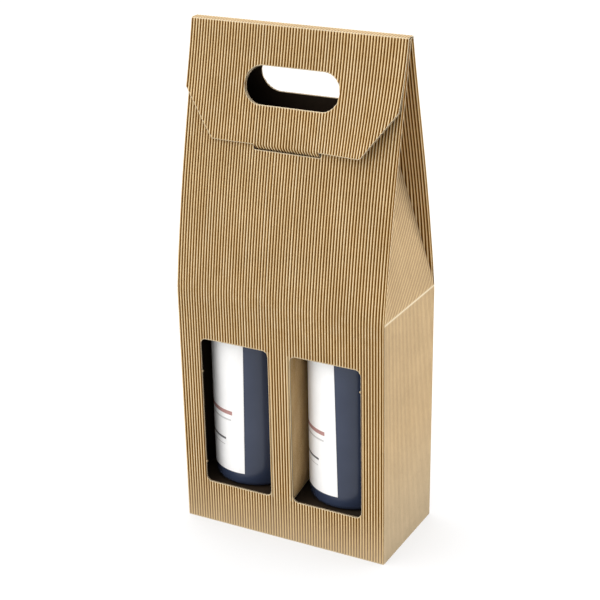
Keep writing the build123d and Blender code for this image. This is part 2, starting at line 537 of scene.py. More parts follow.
@dataclass
class Panel:
    """Panel of a sheet: its outline, holes and scores, and the rule that folds it into place."""

    width: float
    rows: Sequence[float]
    outline: Callable[[float, float], Span]
    place: Callable[[float, float], Vector]
    openings: Sequence[Opening] = ()
    scores: Sequence[float] = ()
    columns: Sequence[float] = ()
    pressed: Span = (0.0, 0.0)
    lined: Callable[[float], float] | None = None
    wrap: float = 0.0
    flip: bool = False

    def spans(self, across: float, within: float, layer: Layer) -> list[Span]:
        """Finds the stretches of paper at one place across the flutes.

        Args:
            across: The place.
            within: Middle of the strip that asks, which settles what a step or a hole's end means.
            layer: The paper.

        Returns:
            The lower and upper end of each stretch, lowest first.
        """
        low, high = self.outline(across, within)
        if self.lined is not None and layer is Layer.LINER:
            high = min(high, self.lined(across))
        spans = []
        for hole in sorted(self.openings, key=lambda h: h.low):
            if hole.start < within < hole.end:
                edge_low, edge_high = hole.edges(across)
                spans.append((low, edge_low))
                low = edge_high
        return [*spans, (low, high)]


@dataclass
class FoldLine:
    """Side view of a folded strip: its corners, how far along the strip they lie, and the radius of its folds."""

    corners: Sequence[Vector]
    places: Sequence[float]
    radius: float

    def bends(self) -> list[float]:
        """Returns the places along the strip that its rounded folds need."""
        return [fold + self.radius * t for fold in self.places[1:-1] for t in (-1.0, -0.5, 0.0, 0.5, 1.0)]

    def point(self, along: float) -> Vector:
        """Finds a point of the side view.

        Args:
            along: Distance from the strip's start.

        Returns:
            The point, with no place across.
        """
        ways = [(b - a).normalized() for a, b in zip(self.corners, self.corners[1:])]
        for i in range(1, len(ways)):
            if abs(along - self.places[i]) < self.radius:
                share = (along - self.places[i] + self.radius) / (2 * self.radius)
                return self.corners[i] + (ways[i] * share**2 - ways[i - 1] * (1 - share) ** 2) * self.radius
        i = max(k for k in range(len(ways)) if along >= self.places[k] - TOUCH or k == 0)
        return self.corners[i] + ways[i] * (along - self.places[i])


@dataclass(frozen=True)
class Board:
    """Open-flute board: a waved paper on the outside, glued to a flat liner."""

    thickness: float = 1.8
    flute_depth: float = 1.1
    flute_pitch: float = 2.4
    flute_paper: float = 0.28
    liner_paper: float = 0.42
    score_half: float = 1.3
    frayed: float = 0.9
    cut_press: float = 0.9
    strip_press: float = 0.35
    crushed_level: float = 0.55
    unevenness: float = 0.16
    uneven_scale: float = 160.0
    seed: float = 3.0
    steps: tuple[int, int] = (6, 1)
    column_room: float = 0.3

    def weave(self, sheet: SheetMesh, panel: Panel) -> None:
        """Lays both papers of a panel into a sheet.

        Args:
            sheet: The mesh that takes them.
            panel: The panel to lay.
        """
        flutes = max(round(panel.width / self.flute_pitch), 1)
        rows = set(panel.rows)
        for score in panel.scores:
            rows.update((score - self.score_half, score, score + self.score_half))
        for hole in panel.openings:
            rows.update(hole.edges(hole.start) + hole.edges(hole.end))
        fixed = [*panel.columns, *(c for hole in panel.openings for c in hole.columns()), 0.0, panel.width]
        if panel.wrap:
            turns = [panel.wrap * third / 3 for third in (1, 2, 3)]
            fixed += [-turn for turn in turns] + [panel.width + turn for turn in turns]
        for layer, steps in zip(Layer, self.steps):
            count = flutes * steps
            room = panel.width / count * self.column_room
            even = spread(0.0, panel.width, count)
            columns = sorted(set(fixed) | {u for u in even if all(abs(u - f) > room for f in fixed)})
            columns = [u for i, u in enumerate(columns) if i == 0 or u - columns[i - 1] > TOUCH]
            self.stitch(sheet, panel, layer, columns, sorted(rows), flutes)

    def stitch(self, sheet: SheetMesh, panel: Panel, layer: Layer, columns: Sequence[float],
               rows: Sequence[float], flutes: int) -> None:
        """Joins the columns of one paper with faces.

        Args:
            sheet: The mesh that takes them.
            panel: The panel they belong to.
            layer: The paper.
            columns: Places across the flutes.
            rows: Places along the flutes.
            flutes: Number of flutes across the panel.
        """
        known: dict[tuple[int, int], int] = {}

        def vertex(across: float, along: float, wear: float) -> int:
            """Adds the point at a place the first time it is asked for.

            Args:
                across: The place across the flutes.
                along: The place along them.
                wear: How frayed the paper is there.

            Returns:
                The point's number.
            """
            key = (round(across / TOUCH), round(along / TOUCH))
            if key not in known:
                turn = 0.5 + across / panel.width * flutes
                press = [1 - abs(along - score) / self.score_half for score in panel.scores]
                if panel.pressed[0] <= along < panel.pressed[1]:
                    press.append(self.strip_press)
                crush = max([wear * self.cut_press, *press])
                known[key] = sheet.point(panel.place(across, along), turn, crush, layer, wear)
            return known[key]

        def stops(span: Span) -> list[float]:
            """Lists the places along a stretch of paper.

            Args:
                span: The stretch's lower and upper end.

            Returns:
                Its cut ends, the ends of its frayed bands and its rows, lowest first.
            """
            low, high = span
            band = min(self.frayed, (high - low) / 4)
            inner = [r for r in rows if low + band + TOUCH < r < high - band - TOUCH]
            return [low, low + band, *inner, high - band, high]

        for left, right in zip(columns, columns[1:]):
            within = (left + right) / 2
            for pair in zip(panel.spans(left, within, layer), panel.spans(right, within, layer)):
                lines = [stops(span) for span in pair]
                shared = [r for r in lines[0][2:-2] if r in lines[1][2:-2]]
                cuts = [[*line[:2], *shared, *line[-2:]] for line in lines]
                for step in range(len(cuts[0]) - 1):
                    loop = []
                    for u, line, marks in zip((left, right), lines, cuts):
                        run = [v for v in line if marks[step] <= v <= marks[step + 1]]
                        loop.append([vertex(u, v, float(v in (line[0], line[-1]))) for v in run])
                    face = list(dict.fromkeys([*loop[1], *reversed(loop[0])]))
                    if len(face) > 2:
                        sheet.faces.append(face[::-1] if panel.flip else face)

    def weave_columns(self, sheet: SheetMesh, width: float, column: Callable[[float], list[tuple[Vector, float]]],
                      hidden: int) -> None:
        """Lays both papers of a panel whose columns fold each in its own way.

        Args:
            sheet: The mesh that takes them.
            width: Size of the panel across the flutes.
            column: Gives the points and the crush of the column at a share of the width.
            hidden: How many points at the column's end have no room for a liner behind them.
        """
        flutes = max(round(width / self.flute_pitch), 1)
        for layer, steps in zip(Layer, self.steps):
            last: list[int] = []
            for share in spread(0.0, 1.0, flutes * steps):
                fold = column(share)
                if layer is Layer.LINER:
                    fold = fold[:-hidden]
                line = [sheet.point(p, 0.5 + share * flutes, crush, layer) for p, crush in fold]
                for k in range(len(last) - 1):
                    sheet.faces.append([last[k], line[k], line[k + 1], last[k + 1]])
                last = line

    def tree(self) -> bpy.types.NodeTree:
        """Builds the Geometry Nodes tree that turns a folded sheet into board, once.

        Returns:
            The tree, with its sizes as named inputs.
        """
        if "open_flute_board" in bpy.data.node_groups:
            return bpy.data.node_groups["open_flute_board"]
        tree = bpy.data.node_groups.new("open_flute_board", "GeometryNodeTree")
        graph = Graph(tree)
        graph.sockets("INPUT", "Geometry", "Sheet")
        graph.sockets("INPUT", "Float", "Flute Depth", "Flute Paper", "Liner Depth", "Liner Paper", "Crushed Level",
                      "Unevenness", "Uneven Scale", "Seed")
        graph.sockets("INPUT", "Material", "Flute Finish", "Liner Finish")
        graph.sockets("OUTPUT", "Geometry", "Board")
        entry = graph.add("NodeGroupInput").outputs

        def attribute(name: str) -> Socket:
            """Returns a named attribute of the sheet."""
            node = graph.add("GeometryNodeInputNamedAttribute", {"Name": name}, data_type="FLOAT")
            return node.outputs["Attribute"]

        def store(geometry: Socket, name: str, value: object, domain: str) -> Socket:
            """Writes a named attribute and returns the geometry that holds it."""
            inputs = {"Geometry": geometry, "Name": name, "Value": value}
            return graph.add("GeometryNodeStoreNamedAttribute", inputs, data_type="FLOAT", domain=domain).outputs[0]

        turn = graph.math("COSINE", graph.math("MULTIPLY", attribute("flute"), 2 * math.pi))
        wave = graph.math("MULTIPLY_ADD", turn, -0.5, 0.5)
        place = graph.add("GeometryNodeInputPosition").outputs[0]
        noise = graph.add("ShaderNodeTexNoise", {"Vector": place, "W": entry["Seed"], "Scale": entry["Uneven Scale"],
                                                 "Detail": 1.0}, noise_dimensions="4D").outputs[0]
        sag = graph.math("MULTIPLY", noise, entry["Unevenness"])
        height = graph.blend(attribute("crush"), graph.math("MULTIPLY", wave, graph.math("SUBTRACT", 1.0, sag)),
                             entry["Crushed Level"])
        sheet = store(entry["Sheet"], "crest", height, "POINT")
        sheet = store(sheet, "rim", 0.0, "FACE")
        liner = attribute("liner")
        dip = graph.math("MULTIPLY", graph.math("SUBTRACT", 1.0, height), entry["Flute Depth"])
        outside = graph.blend(liner, dip, entry["Liner Depth"])
        paper = graph.blend(liner, entry["Flute Paper"], entry["Liner Paper"])
        sink = graph.math("MULTIPLY", graph.math("ADD", outside, paper), -1.0)
        normal = graph.add("GeometryNodeInputNormal").outputs[0]
        shift = graph.add("ShaderNodeVectorMath", {"Vector": normal, "Scale": sink}, operation="SCALE").outputs[0]
        inside = graph.add("GeometryNodeSetPosition", {"Geometry": sheet, "Offset": shift}).outputs[0]
        raised = graph.add("GeometryNodeExtrudeMesh", {"Mesh": inside, "Offset Scale": paper, "Individual": False},
                           mode="FACES")
        walls = store(raised.outputs["Mesh"], "rim", raised.outputs["Side"], "FACE")
        back = graph.add("GeometryNodeFlipFaces", {"Mesh": inside}).outputs[0]
        joined = graph.add("GeometryNodeJoinGeometry")
        for half in (walls, back):
            graph.feed(joined, {0: half})
        weld = {"Geometry": joined.outputs[0], "Distance": WELD}
        welded = graph.add("GeometryNodeMergeByDistance", weld).outputs[0]
        face = graph.math("LESS_THAN", attribute("rim"), 0.5)
        smooth = graph.add("GeometryNodeSetShadeSmooth", {0: welded, "Shade Smooth": face}, domain="FACE").outputs[0]
        real = graph.add("GeometryNodeRealizeInstances", {"Geometry": smooth}).outputs[0]
        outer = graph.add("GeometryNodeSetMaterial", {"Geometry": real, "Material": entry["Flute Finish"]}).outputs[0]
        lined = graph.add("GeometryNodeSetMaterial", {"Geometry": outer, "Material": entry["Liner Finish"],
                                                      "Selection": graph.math("GREATER_THAN", liner, 0.5)}).outputs[0]
        graph.add("NodeGroupOutput", {"Board": lined})
        return tree

    def form(self, sheet: SheetMesh, name: str) -> Piece:
        """Runs the board tree on a sheet.

        Args:
            sheet: The folded sheet.
            name: Name of the finished piece.

        Returns:
            The piece as a plain mesh object.
        """
        base = sheet.to_object(name + "_sheet")
        modifier = base.modifiers.new("open_flute_board", "NODES")
        modifier.node_group = self.tree()
        values = {
            "Flute Depth": self.flute_depth * MM,
            "Flute Paper": self.flute_paper * MM,
            "Liner Depth": (self.thickness - self.liner_paper) * MM,
            "Liner Paper": self.liner_paper * MM,
            "Crushed Level": self.crushed_level,
            "Unevenness": self.unevenness,
            "Uneven Scale": self.uneven_scale,
            "Seed": self.seed,
            "Flute Finish": KraftFlutes().material(),
            # The liner's near-black finish is painted shade for the inside of the box.
            "Liner Finish": PaintedShadeLiner().material(),
        }
        for item in modifier.node_group.interface.items_tree:
            if item.name in values:
                modifier[item.identifier] = values[item.name]
        shape = base.evaluated_get(bpy.context.evaluated_depsgraph_get())
        mesh = bpy.data.meshes.new_from_object(shape)
        base.modifiers.clear()
        bpy.data.objects.remove(base)
        mesh.name = name
        return link(name, mesh)


@dataclass
class Carton:
    """Body of the carrier: four walls, the leaning gable with folded-in sides, windows and a locked base."""

    board: Board
    width: float
    depth: float
    height: float
    shoulder: float = 203.0
    fold_gap: float = 0.4
    corner: float = 1.2
    bend_half: float = 10.0
    bow: float = 3.0
    bow_start: float = 12.0
    bow_gain: float = 10.9
    bow_powers: Span = (1.5, 2.0)
    settle_share: float = 0.15
    front_splay: float = 0.6
    back_splay: float = 2.6
    bend_rows: int = 8
    slope_rows: int = 8
    side_rows: int = 6
    half_rows: int = 9
    wall_margin: float = 0.0002
    crease_margin: float = 0.002
    crease_share: float = 0.3
    foot_band: float = 1.0
    # Pressing flattens the flutes and pales them towards the score colour. On the side wall and the gusset's leaning
    # middle this paleness is partly painted light, which makes the sides lighter than the front. foot_press adds more
    # of it at the side wall's base, so that wall grows paler towards the bottom.
    foot_press: float = 0.25
    side_press: float = 0.35
    gusset_press: float = 0.3
    window_inner: float = 9.6
    window_width: float = 60.6
    window_low: float = 36.5
    window_high: float = 163.5
    window_radius: float = 5.0
    nick_size: Span = (1.0, 0.7)
    nick_places: tuple[tuple[Side, float], ...] = ((Side.LEFT, 53.9), (Side.LEFT, 134.7), (Side.RIGHT, 145.7))
    flap_gap: float = 0.3
    flap_meeting_gap: float = 0.2
    flap_fold: Span = (0.12, 0.3)
    handle_length: float = 79.7
    handle_height: float = 29.0
    handle_drop: float = 45.0
    back_handle_rise: float = 2.5
    slot_width: float = 56.9
    slot_top: float = 87.1
    slot_low: float = 92.9
    slot_radius: float = 1.4
    base_gap: float = 0.2
    lock_half: Span = (34.0, 46.0)
    lock_reach: Span = (15.0, -7.0)

    def __post_init__(self) -> None:
        """Works out the gable from the outside sizes, and the divider from the windows."""
        self.ridge_half = 2 * self.board.thickness
        self.run = self.depth / 2 - self.ridge_half
        self.rise = self.height - self.shoulder
        self.slope = math.hypot(self.run, self.rise)
        self.up = Vector((0.0, self.run, self.rise)) / self.slope
        self.out = Vector((0.0, -self.rise, self.run)) / self.slope
        self.lid_offset = self.board.thickness + self.fold_gap
        self.top = self.shoulder + self.slope - self.lid_offset * self.slope / self.rise
        self.lid_top = self.shoulder + self.slope - self.lid_offset * self.run / self.rise
        self.wall_width = self.width - 2 * self.corner
        self.side_half = self.depth / 2 - self.corner
        self.wrap = self.corner * math.pi / 2
        self.window_outer = self.window_inner + self.window_width
        self.flap_length = self.window_width - 2 * self.flap_gap
        meeting = self.window_inner - self.board.thickness - self.flap_meeting_gap
        self.flap_lean = math.asin(meeting / self.flap_length)

    def bulge(self, along: float) -> float:
        """Finds how far the leaning panel bows out, most below its middle.

        Args:
            along: Distance up the sheet from the base.

        Returns:
            The distance.
        """
        share = (along - self.shoulder + self.bow_start) / (self.slope + self.bow_start)
        share = min(max(share, 0.0), 1.0)
        rise, fall = self.bow_powers
        return self.bow * self.bow_gain * share**rise * (1 - share) ** fall

    def profile(self, along: float, splay: float) -> Vector:
        """Finds a point of the front wall's side view: upright, softly bent at the shoulder, then leaning.

        Args:
            along: Distance up the sheet from the base.
            splay: How far the wall leans out at the shoulder.

        Returns:
            The point, with no place across.
        """
        reach = self.bend_half
        foot = Vector((0.0, -self.depth / 2, self.shoulder))
        swell = self.out * self.bulge(along)
        swell.y -= splay * min(along / self.shoulder, 1 - (along - self.shoulder) / self.slope)
        if along <= self.shoulder - reach:
            return Vector((0.0, -self.depth / 2, along)) + swell
        if along >= self.shoulder + reach:
            return foot + self.up * (along - self.shoulder) + swell
        share = (along - self.shoulder + reach) / (2 * reach)
        start = foot - Vector((0.0, 0.0, reach))
        end = foot + self.up * reach
        return start * (1 - share) ** 2 + foot * (2 * share * (1 - share)) + end * share**2 + swell

    def fold_depth(self, along: float) -> float:
        """Returns how far behind the front face the side fold lies, which closes up towards the ridge."""
        share = max(along - self.shoulder, 0.0) / (self.top - self.shoulder)
        return self.corner + (self.board.thickness - self.corner) * (1 - (1 - share) ** 3)

    def upright(self, across: float, along: float, splay: float) -> Vector:
        """Places a point of a front wall, which turns round the upright edges at both ends.

        Args:
            across: Distance from the left edge, below zero or over the wall's width in the turns.
            along: Distance up the sheet from the base.
            splay: How far the wall leans out at the shoulder.

        Returns:
            The folded place.
        """
        base = self.profile(along, splay)
        half = self.wall_width / 2
        over = max(-across, across - self.wall_width, 0.0)
        x = min(max(across - half, -half), half)
        if over:
            angle = over / self.corner
            x += math.copysign(self.corner * math.sin(angle), x)
            base.y += self.fold_depth(along) * (1 - math.cos(angle))
        return Vector((x, base.y, base.z))

    def front(self, across: float, along: float) -> Vector:
        """Places a point of the front wall."""
        return self.upright(across, along, self.front_splay)

    def back(self, across: float, along: float) -> Vector:
        """Places a point of the back wall, a half turn from the front."""
        point = self.upright(across, along, self.back_splay)
        return Vector((-point.x, -point.y, point.z))

    def edge(self, along: float, splay: float) -> Vector:
        """Returns a point of the fold between a front wall and the right side."""
        return self.upright(self.wall_width + self.wrap, along, splay)

    def folded_half(self, inward: float, along: float, splay: float) -> Vector:
        """Places a point of the side's folded-in half, which lies flat behind the front panel.

        Args:
            inward: Distance from the side fold.
            along: Distance up the sheet from the base.
            splay: How far the wall in front of it leans out at the shoulder.

        Returns:
            The folded place.
        """
        base = self.profile(along, splay)
        radius = self.board.thickness
        arc = radius * math.pi / 2
        turn = min(inward / arc, 1.0) * math.pi / 2
        climb = min((along - self.shoulder) / (self.top - self.shoulder) / self.settle_share, 1.0)
        depth = self.fold_depth(along) * (1 + climb * math.sin(turn))
        x = self.width / 2 - radius * (1 - math.cos(turn)) - max(inward - arc, 0.0)
        return Vector((x, base.y + depth, base.z))

    def side_column(self, share: float) -> list[tuple[Vector, float]]:
        """Places one column of the right side: the wall, the gusset's leaning middle and its folded-in half.

        Args:
            share: Place across the side, from the front edge at 0 to the back edge at 1.

        Returns:
            The points from the base up, each with its crush.
        """
        score = self.board.score_half
        rear = share > 0.5
        splay = self.back_splay if rear else self.front_splay
        mirror = Vector((1.0, -1.0 if rear else 1.0, 1.0))
        climb = min(max(1 - abs(1 - 2 * share), self.crease_margin), 1 - self.crease_margin)

        def wall(along: float) -> Vector:
            """Finds a place on the flat wall between both side folds.

            Args:
                along: Distance up the sheet from the base.

            Returns:
                The place.
            """
            near, far = self.edge(along, self.front_splay), self.edge(along, self.back_splay)
            inner = min(max(share, self.wall_margin), 1 - self.wall_margin)
            return Vector((near.x, near.y - (far.y + near.y) * inner, near.z))

        bend = spread(self.shoulder - 2 * self.bend_half, self.shoulder - score, self.side_rows)
        # The press on the side wall and the gusset pales them, partly as painted light. The base point adds
        # foot_press, so the wall is paler towards the bottom.
        line = [(wall(0.0), self.side_press + self.foot_press)]
        line += [(wall(along), self.side_press) for along in (self.shoulder / 2, *bend)]
        foot = wall(self.shoulder)
        line.append((foot, 1.0))
        inward = self.side_half * climb
        start = self.shoulder + climb * (self.top - self.shoulder)
        crease = self.folded_half(inward, start, splay) * mirror
        close = min(score / (crease - foot).length, self.crease_share)
        line += [(foot.lerp(crease, f), self.gusset_press) for f in (close, 0.5, 1 - close)]
        rows = spread(start, self.top, self.half_rows)
        return line + [(self.folded_half(inward, along, splay) * mirror, 0.0) for along in rows]

    def opposite_column(self, share: float) -> list[tuple[Vector, float]]:
        """Places one column of the left side, the right side's mirror image."""
        return [(Vector((-p.x, p.y, p.z)), crush) for p, crush in self.side_column(1 - share)]

    def liner_top(self, across: float) -> float:
        """Returns how far up the front wall's liner shows at this place across it, below the folded-in halves."""
        inward = max(min(across, self.wall_width - across), 0.0)
        return self.shoulder + min(inward / self.side_half, 1.0) * (self.top - self.shoulder)

    def openings(self, windows: bool) -> list[Opening]:
        """Lists the holes of the front or the back wall.

        Args:
            windows: True for the front wall, which has the windows and the tongue's slot.

        Returns:
            The holes, in the wall's own sheet.
        """
        middle = self.wall_width / 2
        handle = self.lid_top - self.handle_drop + (0.0 if windows else self.back_handle_rise)
        holes = [Opening.handle(middle, handle, self.handle_length, self.handle_height)]
        if windows:
            slot = self.slot_width / 2
            holes.append(Opening(middle - slot, middle + slot, self.lid_top - self.slot_low,
                                 self.lid_top - self.slot_top, self.slot_radius))
            for start, end in ((-self.window_outer, -self.window_inner), (self.window_inner, self.window_outer)):
                holes.append(Opening(middle + start, middle + end, self.window_low, self.window_high,
                                     self.window_radius))
        return holes

    def wall(self, windows: bool) -> Panel:
        """Lays out the front or the back wall.

        Args:
            windows: True for the front wall.

        Returns:
            The wall with its leaning panel.
        """
        low, high = self.shoulder - 2 * self.bend_half, self.shoulder + 2 * self.bend_half
        slope = spread(high, self.top, self.slope_rows)
        return Panel(
            width=self.wall_width,
            rows=[self.shoulder / 3, *spread(low, high, self.bend_rows), *slope[1:-1]],
            outline=lambda across, within: (0.0, self.top),
            place=self.front if windows else self.back,
            openings=self.openings(windows),
            lined=self.liner_top,
            pressed=(0.0, self.foot_band),
            wrap=self.wrap,
        )

    def nick(self, side: Side, height: float) -> Panel:
        """Lays out a crumb of board left at a window's outer edge where the die did not cut through.

        Args:
            side: The window.
            height: Height of the crumb's middle.

        Returns:
            The crumb, in the front wall's own sheet.
        """
        reach, half = self.nick_size
        start = self.wall_width / 2 + (-self.window_outer if side is Side.LEFT else self.window_outer - reach)
        return Panel(
            width=reach,
            rows=[],
            outline=lambda across, within: (height - half, height + half),
            place=lambda across, along: self.front(start + across, along),
        )

    def divider(self, side: Side) -> Panel:
        """Lays out the flap cut from a window and folded in beside the bottle.

        Args:
            side: The window.

        Returns:
            The flap.
        """
        aside, behind = self.flap_fold
        start = Vector((self.window_inner + aside, -self.depth / 2 + behind, 0.0))
        inward = Vector((-math.sin(self.flap_lean), math.cos(self.flap_lean), 0.0))
        shape = Opening(-self.flap_length, self.flap_length, self.window_low + self.flap_gap,
                        self.window_high - self.flap_gap, self.window_radius)

        def place(across: float, along: float) -> Vector:
            """Places a point of the flap."""
            point = start + inward * across
            return Vector((side.value * point.x, point.y, along))

        return Panel(
            width=self.flap_length,
            rows=[(self.window_low + self.window_high) / 2],
            outline=lambda across, within: shape.edges(across),
            place=place,
            columns=[c for c in shape.columns() if 0 < c < self.flap_length],
            flip=side is Side.LEFT,
        )

    def seam_line(self, across: float) -> float:
        """Finds how far back the front base flap reaches.

        Args:
            across: Place across the base, from its middle.

        Returns:
            The seam's place there.
        """
        near, far = self.lock_half
        reach, rest = self.lock_reach
        share = min(max((abs(across) - near) / (far - near), 0.0), 1.0)
        return reach + (rest - reach) * share

    def base_flap(self, front: bool) -> Panel:
        """Lays out the front or the back flap of the locked base, seen from below.

        Args:
            front: True for the front flap.

        Returns:
            The flap.
        """
        room = self.board.thickness + self.base_gap
        half = self.width / 2 - room
        reach = self.depth / 2 - room

        def outline(across: float, within: float) -> Span:
            """Returns the flap's ends at this place across the base."""
            seam = self.seam_line(half - across)
            return (-reach, seam - self.flap_gap) if front else (seam + self.flap_gap, reach)

        return Panel(
            width=2 * half,
            rows=[-reach / 2, 0.0, reach / 2],
            outline=outline,
            place=lambda across, along: Vector((half - across, along, 0.0)),
            columns=[half + sign * lock for lock in self.lock_half for sign in (-1, 1)],
        )

    def build(self) -> Piece:
        """Folds the whole sheet and puts it in the place of the CAD body.

        Returns:
            The carton.
        """
        sheet = SheetMesh()
        for windows in (True, False):
            self.board.weave(sheet, self.wall(windows))
            self.board.weave(sheet, self.base_flap(windows))
        for side in Side:
            self.board.weave(sheet, self.divider(side))
        for side, height in self.nick_places:
            self.board.weave(sheet, self.nick(side, height))
        for column in (self.side_column, self.opposite_column):
            self.board.weave_columns(sheet, 2 * self.side_half, column, self.half_rows)
        piece = self.board.form(sheet, "carton_board")
        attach(piece, "carton")
        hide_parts("carton_body")
        return piece


@dataclass
class Lid:
    """Lid: the strip over the ridge, the flap with cut corners and handle hole, and the tongue."""

    carton: Carton
    inset: float = 0.3
    side: float = 52.7
    length: float = 89.5
    edge_width: float = 126.6
    rounding: float = 1.4
    rounding_reach: float = 4.0
    tongue_half: float = 27.25
    tongue: float = 12.0
    tongue_dip: float = math.radians(36.0)
    fold_radius: float = 1.8
    lift_left: float = 1.2
    lift_right: float = 8.0
    lift_power: float = 2.2
    flap_rows: int = 9
    flap_margin: float = 8.0

    def __post_init__(self) -> None:
        """Lays out the lid's side view from the carton's ridge."""
        carton = self.carton
        self.half = carton.width / 2 - self.inset
        self.edge_half = self.edge_width / 2
        self.kink = self.edge_half - self.rounding_reach * self.rounding
        front = carton.ridge_half + carton.lid_offset * carton.slope / carton.rise
        hinge = Vector((0.0, carton.ridge_half, carton.height))
        fold = Vector((0.0, -front, carton.height))
        edge = fold - carton.up * self.length
        inward = -carton.out * math.cos(self.tongue_dip) - carton.up * math.sin(self.tongue_dip)
        self.strip = (fold - hinge).length
        self.end = self.strip + self.length
        self.profile = FoldLine([hinge, fold, edge, edge + inward * self.tongue],
                                [0.0, self.strip, self.end, self.end + self.tongue], self.fold_radius)

    def place(self, across: float, along: float) -> Vector:
        """Places a point of the lid, which follows the bowed front panel and stands off it at its free corners.

        Args:
            across: Distance from the right edge.
            along: Distance from the hinge.

        Returns:
            The folded place.
        """
        x = self.half - across
        down = min(max(along - self.strip, 0.0), self.length)
        lift = self.lift_right if x > 0 else self.lift_left
        stand = lift * (x / self.edge_half) ** 2 * (down / self.length) ** self.lift_power
        bow = self.carton.bulge(self.carton.lid_top - down)
        point = self.profile.point(along) + self.carton.out * (stand + bow)
        return Vector((x, point.y, point.z))

    def outline(self, across: float, within: float) -> Span:
        """Finds the lid's ends, with its cut corners and its tongue.

        Args:
            across: Distance from the right edge.
            within: Middle of the strip that asks.

        Returns:
            The ends along the sheet.
        """
        x = abs(self.half - across)
        if abs(self.half - within) < self.tongue_half:
            return 0.0, self.end + self.tongue
        if x < self.kink:
            return 0.0, self.end
        cut = self.end - (x - self.edge_half) / (self.half - self.edge_half) * (self.length - self.side)
        return 0.0, (self.end + cut - math.hypot(self.end - cut, self.rounding)) / 2

    def build(self) -> Piece:
        """Folds the lid and puts it in the place of the CAD lid.

        Returns:
            The lid.
        """
        carton = self.carton
        panel = Panel(
            width=2 * self.half,
            rows=[*self.profile.bends(),
                  *spread(self.strip + self.flap_margin, self.end - self.flap_margin, self.flap_rows)],
            outline=self.outline,
            place=self.place,
            openings=[Opening.handle(self.half, self.strip + carton.handle_drop, carton.handle_length,
                                     carton.handle_height)],
            scores=[self.strip],
            columns=[self.half + sign * x for sign in (-1, 1) for x in (self.tongue_half, self.kink, self.edge_half)],
            pressed=(0.0, self.strip),
        )
        sheet = SheetMesh()
        carton.board.weave(sheet, panel)
        piece = carton.board.form(sheet, "lid_board")
        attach(piece, "lid")
        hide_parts("lid_flap")
        return piece


@dataclass
class BottleRest:
    """Folded rest that lifts the bottles: a table with a leg at the front and the back, liner side up."""

    board: Board
    low: Vector
    high: Vector
    fold_radius: float = 2.5
    steps: tuple[int, int] = (4, 1)

    def __post_init__(self) -> None:
        """Lays out the side view of the rest's ribbed face from the CAD rest's box."""
        tall = self.high.z - self.low.z - self.board.thickness
        deep = self.high.y - self.low.y - 2 * self.board.thickness
        half = deep / 2
        corners = [Vector((0.0, y, z)) for y, z in ((-half, 0.0), (-half, tall), (half, tall), (half, 0.0))]
        self.end = 2 * tall + deep
        self.profile = FoldLine(corners, [0.0, tall, tall + deep, self.end], self.fold_radius)

    def place(self, across: float, along: float) -> Vector:
        """Places a point of the rest's ribbed face, which lies underneath."""
        point = self.profile.point(along)
        return Vector((self.high.x - across, point.y, self.low.z + point.z))

    def build(self) -> Piece:
        """Folds the rest and puts it in the place of the CAD rest.

        Returns:
            The rest.
        """
        panel = Panel(
            width=self.high.x - self.low.x,
            rows=self.profile.bends(),
            outline=lambda across, within: (0.0, self.end),
            place=self.place,
        )
        sheet = SheetMesh()
        replace(self.board, steps=self.steps).weave(sheet, panel)
        piece = self.board.form(sheet, "bottle_rest_board")
        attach(piece, "carton")
        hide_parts("bottle_rest")
        return piece


